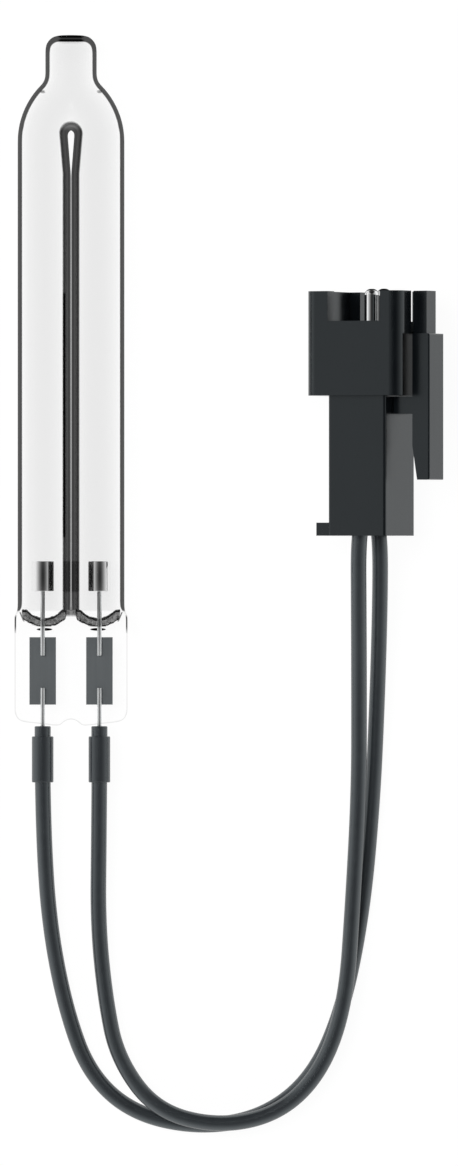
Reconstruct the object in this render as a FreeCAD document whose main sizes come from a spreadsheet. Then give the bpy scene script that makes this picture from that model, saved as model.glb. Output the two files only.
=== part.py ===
import FreeCAD, Part
import Sketcher
import math
import os
import re

from FreeCAD import Placement, Rotation, Vector

# A small U-shaped quartz germicidal lamp on two wires with a two-way latching connector.
# It lies on a table: X to the right, Y from the wires to the exhaust tip, Z up.
# The origin is under the middle of the lamp, on the table.

doc = FreeCAD.newDocument("uvc_lamp_tube")
sheet = doc.addObject("Spreadsheet::Sheet", "Sizes")

SIZES = [
    ("glass_length", 65.7, "seal end to top of exhaust tip"),
    ("tube_outer", 5.08, "outside diameter of a quartz leg"),
    ("tube_wall", 0.4, "wall of the blown quartz"),
    ("leg_gap", 0.05, "free space between the two legs"),
    ("bend_radius", 5.0, "centre line radius where a leg turns inwards"),
    ("bend_sweep", 55.0, "degrees each leg turns before it is swallowed by the neck"),
    ("neck_angle", 33.0, "degrees round the bend at which the neck is seated"),
    ("neck_length", 2.0, "height of the waist between crown and tip"),
    ("neck_seat", 0.1, "how far the foot of the neck stays inside the crown"),
    ("tip_outer", 4.9, "outside diameter of the exhaust tip"),
    ("tip_length", 3.97, "straight part of the exhaust tip"),
    ("tip_round", 1.35, "rounding of the melted end of the tip"),
    ("tip_end_wall", 0.63, "thickness of the melted end of the tip"),
    ("keyhole_width", 0.68, "eye between the legs under the crown"),
    ("keyhole_rise", 0.75, "centre of the eye above the start of the bends"),
    ("keyhole_length", 3.8, "from the centre of the eye to where the legs run parallel"),
    ("keyhole_wall", 0.63, "glass round the eye"),
    ("keyhole_foot_wall", 0.42, "glass beside the foot of the eye"),
    ("seal_width", 10.73, "width of the pinch seal"),
    ("seal_depth", 2.6, "thickness of the pinch seal"),
    ("seal_height", 10.8, "height of the pinch seal"),
    ("seal_corner", 0.9, "rounding of the seal in front view"),
    ("seal_edge", 0.45, "rounding of the long edges of the seal"),
    ("seal_foot_rise", 0.45, "how far the end of the seal draws back towards its corners"),
    ("seal_foot_flat", 2.6, "half of the straight middle of the seal's end"),
    ("seal_notch_width", 2.6, "shallow notch in the end of the seal"),
    ("seal_notch_depth", 0.55, "depth of that notch"),
    ("pinch_length", 3.3, "length over which a round leg is pressed flat"),
    ("pinch_start", 0.7, "start of the flattening above the seal block"),
    ("bore_end_height", 11.0, "height at which the bore starts to close above the seal end"),
    ("bore_end_drop", 1.5, "depth of the rounded end of a bore"),
    ("lead_pitch", 5.4, "distance between the two lead lines"),
    ("electrode_outer", 2.16, "outside diameter of an electrode cup"),
    ("electrode_wall", 0.16, "sheet of an electrode cup"),
    ("electrode_length", 2.85, "height of an electrode cup"),
    ("electrode_height", 12.8, "base of the cup above the seal end"),
    ("lead_diameter", 0.43, "molybdenum lead wire"),
    ("foil_width", 2.52, "molybdenum sealing foil"),
    ("foil_length", 6.42, "length of the foil"),
    ("foil_thickness", 0.06, "thickness of the foil"),
    ("foil_low", 2.0, "lower end of the foil above the seal end"),
    ("inner_weld", 1.75, "overlap of inner lead and foil"),
    ("outer_weld", 1.6, "overlap of outer lead and foil"),
    ("lead_reach", 2.4, "outer lead beyond the seal end"),
    ("barrel_outer", 0.93, "crimp barrel on the outer lead"),
    ("barrel_length", 2.4, "length of the crimp barrel"),
    ("barrel_start", 1.3, "top of the barrel beyond the seal end"),
    ("wire_diameter", 1.5, "insulated wire"),
    ("liner_bore", 0.97, "bore of the inner sleeve"),
    ("liner_start", 0.05, "top of the inner sleeve beyond the seal end"),
    ("liner_length", 4.15, "length of the inner sleeve"),
    ("shrink_outer", 2.02, "outside diameter of the shrink sleeve"),
    ("shrink_start", 1.02, "top of the shrink sleeve beyond the seal end"),
    ("shrink_length", 4.38, "length of the shrink sleeve"),
    ("shrink_edge", 0.12, "rounded rims of the shrink sleeve"),
    ("rim_x", 22.17, "front left corner of the connector rim, X"),
    ("rim_y", 11.11, "front left corner of the connector rim, Y"),
    ("rim_z", 6.68, "front left corner of the connector rim, Z"),
    ("roll", 28.4, "degrees the connector lies rolled about its length"),
    ("shroud_width", 10.15, "width of the connector shroud"),
    ("shroud_depth", 8.0, "thickness of the shroud"),
    ("shroud_length", 9.9, "length of the shroud"),
    ("shroud_corner", 1.1, "rounded corners of the shroud"),
    ("shroud_wall", 1.4, "side walls of the shroud"),
    ("shroud_front_wall", 1.35, "front and back walls of the shroud"),
    ("cavity_depth", 8.5, "depth of the shroud cavity"),
    ("notch_start", 2.5, "left side of the rim notches"),
    ("notch_width", 5.6, "width of the rim notches"),
    ("notch_depth", 2.85, "depth of the rim notches"),
    ("slot_width", 3.0, "slot for the latch arm"),
    ("well_start", 4.05, "rim to the lever well"),
    ("well_depth", 0.95, "depth of the lever well"),
    ("well_margin", 0.8, "wall left beside the well"),
    ("tail_width", 6.13, "width of the connector tail"),
    ("tail_depth", 6.04, "thickness of the tail"),
    ("tail_offset", 2.03, "left side of the tail"),
    ("tail_edge", 0.25, "rounded edges of the tail"),
    ("connector_length", 23.19, "rim to wire end"),
    ("flange_width", 1.38, "grip ledge beside the wire end"),
    ("flange_height", 1.24, "height of the grip ledge"),
    ("chamber_width", 3.4, "contact chamber along the width"),
    ("chamber_depth", 2.0, "contact chamber along the thickness"),
    ("chamber_start", 3.5, "left side of the contact chambers"),
    ("pin_pitch", 2.5, "distance between the contacts"),
    ("pin_side", 5.8, "pins from the left side of the shroud"),
    ("pin_diameter", 1.4, "contact pin"),
    ("pin_proud", 0.3, "pin tip above the rim"),
    ("contact_box_width", 2.6, "boxed part of a contact"),
    ("contact_box_length", 5.0, "length of the boxed part"),
    ("contact_clearance", 0.1, "contact to chamber wall"),
    ("crimp_side", 4.88, "crimps from the left side of the shroud"),
    ("crimp_diameter", 1.4, "crimped part of a contact"),
    ("crimp_end", 19.0, "rim to the end of the crimp"),
    ("lever_arm_width", 1.86, "latch arm along the thickness"),
    ("lever_arm_start", 10.1, "inner face of the latch arm"),
    ("lever_arm_thickness", 1.4, "thickness of the latch arm"),
    ("lever_width", 3.0, "thumb plate along the thickness"),
    ("lever_start", 10.27, "inner face of the thumb plate"),
    ("lever_thickness", 1.8, "thickness of the thumb plate"),
    ("lever_length", 17.9, "rim to the end of the thumb plate"),
    ("lever_taper_start", 14.7, "rim to the taper of the thumb plate"),
    ("lever_taper", 0.5, "how much the thumb plate thins at its end"),
    ("lever_edge", 0.15, "rounded edges of the lever"),
    ("lever_root", 0.5, "how far arm and web run into the thumb plate"),
    ("web_height", 1.63, "height of the web that carries the lever"),
    ("web_clearance", 0.12, "web to the side of the tail and to the end of the shroud"),
]

for row, (alias, value, meaning) in enumerate(SIZES, start=1):
    sheet.set(f"A{row}", meaning)
    sheet.set(f"B{row}", str(value))
    sheet.setAlias(f"B{row}", alias)
doc.recompute()
SIZE_NAMES = {alias for alias, value, meaning in SIZES}


def size(alias):
    return float(getattr(sheet, alias))


def bound(formula):
    return re.sub(r"[a-z_]+", lambda m: f"Sizes.{m[0]}" if m[0] in SIZE_NAMES else m[0], formula)


def bind(obj, **formulas):
    for prop, formula in formulas.items():
        obj.setExpression(prop.replace("__", "."), bound(formula))


def place(obj, x="0", y="0", z="0", turn=None):
    obj.Placement = Placement(Vector(), turn or Rotation())
    bind(obj, Placement__Base__x=x, Placement__Base__y=y, Placement__Base__z=z)


def node(obj, name):
    obj.Label = name
    NODES.append(obj)
    return obj


NODES = []
ALONG_Y = Rotation(Vector(1, 0, 0), -90)
AGAINST_Y = Rotation(Vector(1, 0, 0), 90)


def cylinder(name, radius, height, x="0", y="0", z="0", turn=ALONG_Y):
    rod = doc.addObject("Part::Cylinder", name)
    bind(rod, Radius=radius, Height=height)
    place(rod, x, y, z, turn)
    return rod


def fuse(name, pieces):
    body = doc.addObject("Part::MultiFuse", name)
    body.Shapes = pieces
    return body


def cut(name, base, tool):
    body = doc.addObject("Part::Cut", name)
    body.Base = base
    body.Tool = tool
    return body


# The lamp's own frame has its origin in the end of the seal, and is moved as a whole.
LAMP_Y = "(shrink_start + shrink_length - glass_length) / 2"
LAMP_Z = "tube_outer / 2"


def lamp_node(obj, name, x="0", y="0", z="0", turn=None):
    place(obj, x, f"{LAMP_Y} + {y}", f"{LAMP_Z} + {z}", turn)
    return node(obj, name)


# Heights in the lamp's frame, and the line that the legs follow.
LEG_X = "(tube_outer + leg_gap) / 2"
NECK_TOP = "(glass_length - tip_length)"
NECK_FOOT = "(glass_length - tip_length - neck_length)"
CROWN_RADIUS = "(bend_radius + tube_outer / 2)"
BEND_START = f"({NECK_FOOT} - {CROWN_RADIUS} * sin(neck_angle))"
CROWN_HALF = f"(tube_outer + leg_gap / 2 - {CROWN_RADIUS} * (1 - cos(neck_angle)) - neck_seat)"
PINCH_TOP = "(seal_height + pinch_start)"
LEAD_X = "lead_pitch / 2"


def bend(name, radius):
    elbow = doc.addObject("Part::Torus", name)
    bind(elbow, Radius1="bend_radius", Radius2=radius, Angle3="bend_sweep")
    place(elbow, f"{LEG_X} - bend_radius", BEND_START)
    return elbow


def oval(name, half_width, half_depth, x, y):
    ring = doc.addObject("Part::Ellipse", name)
    bind(ring, MajorRadius=half_width, MinorRadius=half_depth)
    place(ring, x, y, "0", ALONG_Y)
    return ring


def loft(name, sections):
    skin = doc.addObject("Part::Loft", name)
    skin.Sections = sections
    skin.Solid = True
    return skin


def mirrored(name, source):
    twin = doc.addObject("Part::Mirroring", name)
    twin.Source = source
    twin.Normal = Vector(1, 0, 0)
    return twin


def neck(name, inset):
    # The waist flares from the round tip to the wider crown: height share, width share, depth share.
    stations = [(1.0, 0.0, 0.0), (0.65, 0.24, 0.35), (0.35, 0.65, 0.7), (0.0, 1.0, 1.0)]
    rings = []
    for count, (rise, spread, deepen) in enumerate(stations):
        half_width = f"tip_outer / 2 + ({CROWN_HALF} - tip_outer / 2) * {spread} - {inset}"
        half_depth = f"tip_outer / 2 + (tube_outer - tip_outer) / 2 * {deepen} - {inset}"
        height = f"{NECK_FOOT} + neck_length * {rise}"
        rings.append(oval(f"{name}_ring_{count}", half_width, half_depth, "0", height))
    return loft(name, rings)


def teardrop(name, eye, foot):
    # A slit that opens into a round eye, right through the glass from front to back.
    deep = "tube_outer"
    eye_y = f"{BEND_START} + keyhole_rise"
    top = cylinder(f"{name}_eye", eye, f"2 * {deep}", "0", eye_y, f"-{deep}", Rotation())
    slit = doc.addObject("Part::Wedge", f"{name}_slit")
    bind(slit, Xmin=f"-({foot})", Xmax=foot, X2min=f"-({eye})", X2max=eye)
    bind(slit, Ymin=f"{eye_y} - keyhole_length", Ymax=eye_y)
    bind(slit, Zmin=f"-{deep}", Zmax=deep, Z2min=f"-{deep}", Z2max=deep)
    return fuse(name, [top, slit])


# Outside of the quartz: two legs bent together into a crown, a neck, a tip and the pinch seal.
leg_outer = cylinder("leg_outer", "tube_outer / 2", f"{BEND_START} - {PINCH_TOP}", LEG_X, PINCH_TOP)
pinch = loft("pinch", [
    oval("pinch_top", "tube_outer / 2", "tube_outer / 2", LEG_X, PINCH_TOP),
    oval("pinch_foot", "(seal_width - leg_gap) / 4 + 0.04", "seal_depth / 2", LEG_X,
         f"{PINCH_TOP} - pinch_length"),
])
leg_right = fuse("leg_right", [leg_outer, bend("bend_outer", "tube_outer / 2"), pinch])

tip_rod = cylinder("tip_rod", "tip_outer / 2", "tip_length", "0", NECK_TOP)
doc.recompute()
tip = doc.addObject("Part::Fillet", "tip")
tip.Base = tip_rod
round_edges = [
    (count, size("tip_round"), size("tip_round"))
    for count, edge in enumerate(tip_rod.Shape.Edges, start=1)
    if isinstance(edge.Curve, Part.Circle) and edge.CenterOfMass.y > size("glass_length") - 0.01
]
tip.Edges = round_edges


def plane_of(body, role):
    return next(plane for plane in body.Origin.OriginFeatures if plane.Role == role)


def outline(body, name, role, corners, offset="0"):
    # corners are pairs of formulas, in order round a straight-sided profile.
    sketch = body.newObject("Sketcher::SketchObject", name)
    sketch.AttachmentSupport = [(plane_of(body, role), "")]
    sketch.MapMode = "FlatFace"
    bind(sketch, AttachmentOffset__Base__z=offset)
    count = len(corners)
    loose = [Vector(math.cos(2 * math.pi * k / count), math.sin(2 * math.pi * k / count), 0)
             for k in range(count)]
    for line in range(count):
        sketch.addGeometry(Part.LineSegment(loose[line], loose[(line + 1) % count]), False)
    for line in range(count):
        sketch.addConstraint(Sketcher.Constraint("Coincident", line, 2, (line + 1) % count, 1))
    for line, (across, up) in enumerate(corners):
        for way, formula, start in (("DistanceX", across, loose[line].x), ("DistanceY", up, loose[line].y)):
            held = sketch.addConstraint(Sketcher.Constraint(way, -1, 1, line, 1, start))
            sketch.setExpression(f"Constraints[{held}]", bound(formula))
    return sketch


def upright(left, right, low, high):
    return [(left, low), (right, low), (right, high), (left, high)]


def rectangle(body, name, role, sides, offset="0"):
    return outline(body, name, role, upright(*sides), offset)


def pad(body, sketch, length, reverse=False):
    feature = body.newObject("PartDesign::Pad", f"{sketch.Name}_pad")
    feature.Profile = sketch
    feature.Reversed = reverse
    bind(feature, Length=length)
    return feature


def pocket(body, sketch, length, reverse=False):
    doc.recompute()
    before = body.Shape.Volume
    feature = body.newObject("PartDesign::Pocket", f"{sketch.Name}_pocket")
    feature.Profile = sketch
    feature.Reversed = reverse
    bind(feature, Length=length)
    doc.recompute()
    if body.Shape.Volume >= before:
        raise RuntimeError(f"{feature.Name} removes nothing")
    return feature


def along(edge, way):
    return isinstance(edge.Curve, Part.Line) and abs(edge.tangentAt(edge.FirstParameter).dot(way)) > 0.999


def round_off(body, name, radius, picked):
    doc.recompute()
    base = body.Tip
    names = [f"Edge{count}" for count, edge in enumerate(base.Shape.Edges, start=1) if picked(edge)]
    feature = body.newObject("PartDesign::Fillet", name)
    feature.Base = (base, names)
    bind(feature, Radius=radius)
    doc.recompute()
    return feature


X_WAY, Y_WAY, Z_WAY = Vector(1, 0, 0), Vector(0, 1, 0), Vector(0, 0, 1)

seal = doc.addObject("PartDesign::Body", "seal")
seal_front = outline(seal, "seal_front", "XY_Plane", [
    ("-seal_width / 2", "seal_foot_rise"), ("-seal_foot_flat", "0"), ("seal_foot_flat", "0"),
    ("seal_width / 2", "seal_foot_rise"), ("seal_width / 2", "seal_height"),
    ("-seal_width / 2", "seal_height"),
], "seal_depth / 2")
pad(seal, seal_front, "seal_depth", reverse=True)
round_off(seal, "seal_corners", "seal_corner", lambda edge: along(edge, Z_WAY))
round_off(seal, "seal_edges", "seal_edge", lambda edge: along(edge, Y_WAY))
notch_radius = "((seal_notch_width / 2) ^ 2 + seal_notch_depth ^ 2) / (2 * seal_notch_depth)"
seal_notch = cylinder("seal_notch", notch_radius, "2 * seal_depth", "0",
                      f"seal_notch_depth - {notch_radius}", "-seal_depth", Rotation())
seal_block = cut("seal_block", seal, seal_notch)

glass_outside = fuse("glass_outside", [
    leg_right, mirrored("leg_left", leg_right), neck("neck_outer", "0"), tip, seal_block,
])
keyhole = teardrop("keyhole", "keyhole_width / 2", "leg_gap / 2")
glass_solid = cut("glass_solid", glass_outside, keyhole)

# Inside of the quartz: the bores, the crown chamber and the hollow of the tip.
bore_leg = cylinder("bore_leg", "tube_outer / 2 - tube_wall", f"{BEND_START} - bore_end_height",
                    LEG_X, "bore_end_height")
bore_end = doc.addObject("Part::Ellipsoid", "bore_end")
bind(bore_end, Radius1="tube_outer / 2 - tube_wall", Radius2="tube_outer / 2 - tube_wall",
     Radius3="bore_end_drop")
place(bore_end, LEG_X, "bore_end_height")
bore_right = fuse("bore_right", [bore_leg, bore_end, bend("bend_bore", "tube_outer / 2 - tube_wall")])
tip_hollow = cylinder("tip_hollow", "tip_outer / 2 - tube_wall", "tip_length - tip_end_wall", "0", NECK_TOP)
chamber = fuse("chamber", [
    bore_right, mirrored("bore_left", bore_right), neck("neck_hollow", "tube_wall"), tip_hollow,
])
guard = teardrop("guard", "keyhole_width / 2 + keyhole_wall", "leg_gap / 2 + keyhole_foot_wall")
hollow = cut("hollow", chamber, guard)

# What is sealed into the glass: the foils and the ends of the leads, welded onto their faces.
INNER_LEAD_FOOT = "foil_low + foil_length - inner_weld"
OUTER_LEAD_TOP = "foil_low + outer_weld"


def lead(name, length):
    return cylinder(name, "lead_diameter / 2", length)


def foil(name, length):
    strip = doc.addObject("Part::Box", name)
    bind(strip, Length="foil_width", Width=length, Height="foil_thickness")
    return strip


# Name, maker, length, then X beside the lead line, Y, Z and turn.
SEALED_IN = [
    ("inner_lead", lead, f"electrode_height - ({INNER_LEAD_FOOT})", "0", INNER_LEAD_FOOT, "0", ALONG_Y),
    ("outer_lead", lead, f"{OUTER_LEAD_TOP} + lead_reach", "0", "-lead_reach", "0", ALONG_Y),
    ("sealing_foil", foil, "foil_length", "-foil_width / 2", "foil_low",
     "-lead_diameter / 2 - foil_thickness", None),
]
rooms = []
for word, side in (("left", -1), ("right", 1)):
    for name, maker, length, x, y, z, turn in SEALED_IN:
        room = maker(f"room_for_{name}_{word}", length)
        place(room, f"{side} * {LEAD_X} + {x}", y, z, turn)
        rooms.append(room)
envelope = cut("envelope", glass_solid, fuse("inside", [hollow, *rooms]))
lamp_node(envelope, "quartz_envelope")


def tube(name, outer, inner, length):
    wall = cylinder(f"{name}_wall", outer, length)
    bore = cylinder(f"{name}_bore", inner, f"{length} + 2", "0", "-1")
    return cut(name, wall, bore)


for word, side in (("left", -1), ("right", 1)):
    line_x = f"{side} * {LEAD_X}"

    # Nickel cup, open towards the discharge, its base welded on the inner lead.
    cup_wall = cylinder(f"cup_wall_{word}", "electrode_outer / 2", "electrode_length")
    cup_bore = cylinder(f"cup_bore_{word}", "electrode_outer / 2 - electrode_wall",
                        "electrode_length", "0", "electrode_wall * 2")
    lamp_node(cut(f"cup_{word}", cup_wall, cup_bore), f"electrode_{word}", line_x, "electrode_height")

    for name, maker, length, x, y, z, turn in SEALED_IN:
        lamp_node(maker(f"piece_{name}_{word}", length), f"{name}_{word}", f"{line_x} + {x}", y, z, turn)

    barrel = tube(f"barrel_{word}", "barrel_outer / 2", "lead_diameter / 2", "barrel_length")
    lamp_node(barrel, f"crimp_barrel_{word}", line_x, "-barrel_start - barrel_length")

    liner = tube(f"liner_{word}", "wire_diameter / 2", "liner_bore / 2", "liner_length")
    lamp_node(liner, f"inner_sleeve_{word}", line_x, "-liner_start - liner_length")

    shrink = tube(f"shrink_{word}", "shrink_outer / 2", "wire_diameter / 2", "shrink_length")
    doc.recompute()
    rims = [(count, size("shrink_edge"), size("shrink_edge"))
            for count, edge in enumerate(shrink.Shape.Edges, start=1)
            if isinstance(edge.Curve, Part.Circle)
            and edge.Curve.Radius > (size("wire_diameter") + size("shrink_outer")) / 4]
    sleeve = doc.addObject("Part::Fillet", f"sleeve_{word}")
    sleeve.Base = shrink
    sleeve.Edges = rims
    lamp_node(sleeve, f"shrink_sleeve_{word}", line_x, "-shrink_start - shrink_length")


# The connector's own frame: X across its width, Y back towards the rim, Z out of its front.
# It is rolled about its length, as it lies beside the lamp.
def connector_node(obj, name):
    obj.Placement = Placement(Vector(), Rotation(Vector(0, 1, 0), -size("roll")))
    bind(obj, Placement__Base__x="rim_x", Placement__Base__y="rim_y", Placement__Base__z="rim_z",
         Placement__Rotation__Angle="-roll")
    return node(obj, name)


MID_DEPTH = "shroud_depth / 2"
TAIL_FRONT = "(shroud_depth - tail_depth) / 2"
TAIL_RIGHT = "(tail_offset + tail_width)"
FLOOR = "cavity_depth"

housing = doc.addObject("PartDesign::Body", "housing")
shroud = rectangle(housing, "shroud", "XZ_Plane", ["0", "shroud_width", "-shroud_depth", "0"])
pad(housing, shroud, "shroud_length")
round_off(housing, "shroud_corners", "shroud_corner", lambda edge: along(edge, Y_WAY))

tail = rectangle(housing, "tail", "XZ_Plane",
                 ["tail_offset", TAIL_RIGHT, f"-{TAIL_FRONT} - tail_depth", f"-{TAIL_FRONT}"],
                 "shroud_length")
pad(housing, tail, "connector_length - shroud_length")
round_off(housing, "tail_edges", "tail_edge",
          lambda edge: along(edge, Y_WAY) and edge.CenterOfMass.y < -size("shroud_length"))

ledge = rectangle(housing, "ledge", "XZ_Plane",
                  ["tail_offset - flange_width", "tail_offset + flange_width",
                   f"-{TAIL_FRONT} - tail_depth + tail_edge", f"-{TAIL_FRONT} - tail_edge"],
                  "connector_length - flange_height")
pad(housing, ledge, "flange_height")

cavity = rectangle(housing, "cavity", "XZ_Plane",
                   ["shroud_wall", "shroud_width - shroud_wall",
                    "-shroud_depth + shroud_front_wall", "-shroud_front_wall"])
pocket(housing, cavity, "cavity_depth", reverse=True)
rim_notches = rectangle(housing, "rim_notches", "XY_Plane",
                        ["notch_start", "notch_start + notch_width", "-notch_depth", "1"])
pocket(housing, rim_notches, "shroud_depth")
arm_slot = rectangle(housing, "arm_slot", "XZ_Plane",
                     ["shroud_width - shroud_wall - 0.3", "shroud_width + 1",
                      f"-{MID_DEPTH} - slot_width / 2", f"-{MID_DEPTH} + slot_width / 2"])
pocket(housing, arm_slot, "well_start", reverse=True)
lever_well = rectangle(housing, "lever_well", "XZ_Plane",
                       ["shroud_width - well_depth", "shroud_width + 1",
                        "-shroud_depth + well_margin", "-well_margin"], "well_start")
pocket(housing, lever_well, "shroud_length - well_start + 0.01", reverse=True)
for count, side in enumerate((-1, 1), start=1):
    middle = f"-{MID_DEPTH} - {side} * pin_pitch / 2"
    passage = rectangle(housing, f"chamber_{count}", "XZ_Plane",
                        ["chamber_start", "chamber_start + chamber_width",
                         f"{middle} - chamber_depth / 2", f"{middle} + chamber_depth / 2"],
                        f"{FLOOR} - 1")
    pocket(housing, passage, f"connector_length - {FLOOR} + 2", reverse=True)
connector_node(housing, "connector_housing")

# The latch is a see-saw: an arm at the rim, a thumb plate behind it and a thin web between.
latch = doc.addObject("PartDesign::Body", "latch")


def lever_plate(name, corners, width):
    front = f"-{MID_DEPTH} + {width} / 2"
    pad(latch, outline(latch, name, "XY_Plane", corners, front), width, reverse=True)


thumb_outside = "lever_start + lever_thickness"
lever_plate("thumb", [
    ("lever_start + lever_taper", "-lever_length"), (thumb_outside, "-lever_length"),
    (thumb_outside, "-well_start"), ("lever_start", "-well_start"),
    ("lever_start", "-lever_taper_start"),
], "lever_width")
round_off(latch, "thumb_edges", "lever_edge",
          lambda edge: edge.CenterOfMass.x > size("lever_start") + size("lever_thickness") - 0.01)
arm_outside = "lever_arm_start + lever_arm_thickness"
lever_plate("arm", upright("lever_arm_start", arm_outside, "-well_start - lever_root", "0"),
            "lever_arm_width")
WEB_TOP = "-shroud_length - web_clearance"
lever_plate("web", upright(f"{TAIL_RIGHT} + web_clearance", "lever_start + lever_root",
                           f"{WEB_TOP} - web_height", WEB_TOP), "lever_width")
connector_node(latch, "latch_lever")

# One contact: a round pin in the shroud, a boxed body in its chamber and a crimp on the wire.
for count, side in enumerate((-1, 1), start=1):
    pin_z = f"-{MID_DEPTH} - {side} * pin_pitch / 2"
    pin = cylinder(f"pin_{count}", "pin_diameter / 2", f"{FLOOR} + pin_proud - pin_diameter / 2 + 0.5",
                   "pin_side", "pin_proud - pin_diameter / 2", pin_z, AGAINST_Y)
    dome = doc.addObject("Part::Sphere", f"dome_{count}")
    bind(dome, Radius="pin_diameter / 2")
    place(dome, "pin_side", "pin_proud - pin_diameter / 2", pin_z)
    box = doc.addObject("Part::Box", f"box_{count}")
    bind(box, Length="contact_box_width", Width="contact_box_length",
         Height="chamber_depth - 2 * contact_clearance")
    place(box, "chamber_start + chamber_width - contact_box_width - contact_clearance",
          f"-{FLOOR} - contact_box_length", f"{pin_z} - chamber_depth / 2 + contact_clearance")
    crimp = cylinder(f"crimp_{count}", "crimp_diameter / 2", f"crimp_end - {FLOOR} - 1",
                     "crimp_side", f"-{FLOOR} - 1", pin_z, AGAINST_Y)
    connector_node(fuse(f"contact_{count}", [pin, dome, box, crimp]), f"contact_pin_{count}")


# The wires lie as they do beside the lamp, each one a plain tube along its own route.
def in_connector(across, back, deep):
    roll = math.radians(size("roll"))
    return Vector(size("rim_x") + across * math.cos(roll) + deep * math.sin(roll),
                  size("rim_y") - back,
                  size("rim_z") + across * math.sin(roll) - deep * math.cos(roll))


def wire_end(count, across_mouth):
    # Straight into the chamber mouth, then a little over to the crimp.
    deep = size("shroud_depth") / 2 + (count * 2 - 3) * size("pin_pitch") / 2
    crimp = size("crimp_end")
    return [in_connector(across_mouth, crimp + 4.9, deep),
            in_connector(size("crimp_side"), crimp + 1.7, deep),
            in_connector(size("crimp_side"), crimp, deep)]


def wire_start(side):
    lamp_y = (size("shrink_start") + size("shrink_length") - size("glass_length")) / 2
    return Vector(side * size("lead_pitch") / 2,
                  lamp_y - size("liner_start") - size("liner_length"), size("tube_outer") / 2)


ROUTES = {
    "lead_wire_right": [
        wire_start(1),
        Vector(2.65, -40.9, 2.45), Vector(2.55, -49.05, 1.5), Vector(3.25, -56.2, 1.15),
        Vector(4.4, -61.85, 1.7), Vector(8.0, -66.85, 2.45), Vector(13.9, -68.45, 2.47),
        Vector(19.7, -67.25, 2.45), Vector(23.8, -63.2, 2.45), Vector(26.15, -56.65, 2.45),
        Vector(26.85, -46.7, 2.5), Vector(27.4, -36.25, 2.8), Vector(27.4, -26.75, 3.9),
        Vector(27.35, -18.3, 5.6),
        *wire_end(1, 4.36),
    ],
    "lead_wire_left": [
        wire_start(-1),
        Vector(-2.65, -40.05, 2.4), Vector(-2.1, -49.05, 1.3), Vector(-0.55, -57.15, 0.8),
        Vector(1.7, -63.35, 0.77), Vector(5.9, -67.15, 0.77), Vector(12.25, -68.5, 0.77),
        Vector(18.25, -67.5, 0.77), Vector(22.95, -63.85, 0.77), Vector(25.85, -57.45, 0.77),
        Vector(27.75, -48.1, 0.77), Vector(28.75, -37.2, 0.9), Vector(29.2, -26.5, 1.9),
        Vector(29.4, -18.3, 3.8),
        *wire_end(2, 5.4),
    ],
}
ARC_SHARE = 0.45


def route_path(points, name):
    edges = []
    radii = []
    last = points[0]
    for before, corner, after in zip(points, points[1:], points[2:]):
        into = corner - before
        out = after - corner
        turn = into.getAngle(out)
        reach = ARC_SHARE * min(into.Length, out.Length)
        radii.append(reach / math.tan(turn / 2))
        into.normalize()
        out.normalize()
        start = corner - into * reach
        end = corner + out * reach
        bow = (out - into).normalize()
        middle = corner + bow * (radii[-1] / math.cos(turn / 2) - radii[-1])
        edges.append(Part.LineSegment(last, start).toShape())
        edges.append(Part.Arc(start, middle, end).toShape())
        last = end
    edges.append(Part.LineSegment(last, points[-1]).toShape())
    print(name, "arc radii in mm:", " ".join(f"{radius:.1f}" for radius in radii))
    return Part.Wire(edges)


for name, points in ROUTES.items():
    path = route_path(points, name)
    radius = size("wire_diameter") / 2
    ring = Part.Wire(Part.makeCircle(radius, points[0], points[1] - points[0]))
    solid = path.makePipeShell([ring], True, False)
    expected = math.pi * radius ** 2 * path.Length
    print(name, f"length {path.Length:.2f} mm, volume {solid.Volume:.3f} of {expected:.3f} mm3")
    wire = doc.addObject("Part::Feature", name)
    wire.Shape = solid
    node(wire, name)

doc.recompute()
for obj in doc.Objects:
    if "Invalid" in obj.State or "Error" in obj.State:
        raise RuntimeError(f"{obj.Name} failed: {obj.State}")
for obj in NODES:
    if obj.Shape.isNull() or not obj.Shape.isValid() or len(obj.Shape.Solids) != 1:
        raise RuntimeError(f"{obj.Label} is not one valid solid")

os.makedirs("parts", exist_ok=True)
for obj in NODES:
    obj.Shape.exportStep(f"parts/{obj.Label}.step")
print(len(NODES), "nodes written")
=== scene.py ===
import math

import bpy
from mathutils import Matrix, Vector


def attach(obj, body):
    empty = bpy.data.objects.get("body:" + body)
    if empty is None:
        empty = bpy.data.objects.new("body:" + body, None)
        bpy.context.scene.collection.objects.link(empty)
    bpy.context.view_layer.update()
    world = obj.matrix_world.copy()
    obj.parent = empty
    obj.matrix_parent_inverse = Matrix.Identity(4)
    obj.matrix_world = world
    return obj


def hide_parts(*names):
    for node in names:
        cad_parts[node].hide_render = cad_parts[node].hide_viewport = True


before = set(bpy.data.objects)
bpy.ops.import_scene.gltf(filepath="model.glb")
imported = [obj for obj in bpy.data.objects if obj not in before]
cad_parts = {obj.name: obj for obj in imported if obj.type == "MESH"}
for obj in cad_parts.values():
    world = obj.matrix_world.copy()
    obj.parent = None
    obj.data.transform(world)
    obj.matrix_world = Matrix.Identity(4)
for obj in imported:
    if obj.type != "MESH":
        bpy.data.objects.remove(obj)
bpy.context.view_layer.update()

# Camera: it looks straight down on the lamp, as the photograph does, from far enough away
# that the raised plug keeps its place beside the flat glass.
bpy.ops.object.camera_add(location=(0.015037, -0.01657, 1.2358), rotation=(0, 0, 0))
camera = bpy.context.object
camera.data.lens = 400
camera.data.sensor_width = 36
bpy.context.scene.camera = camera
bpy.context.scene.view_settings.view_transform = "Standard"
# Rays that cross the clear glass are never dropped at random, nor after a few walls of it, which
# would leave grain or black where one leg stands behind the other.
bpy.context.scene.cycles.transparent_min_bounces = 24
bpy.context.scene.cycles.transparent_max_bounces = 64

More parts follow.
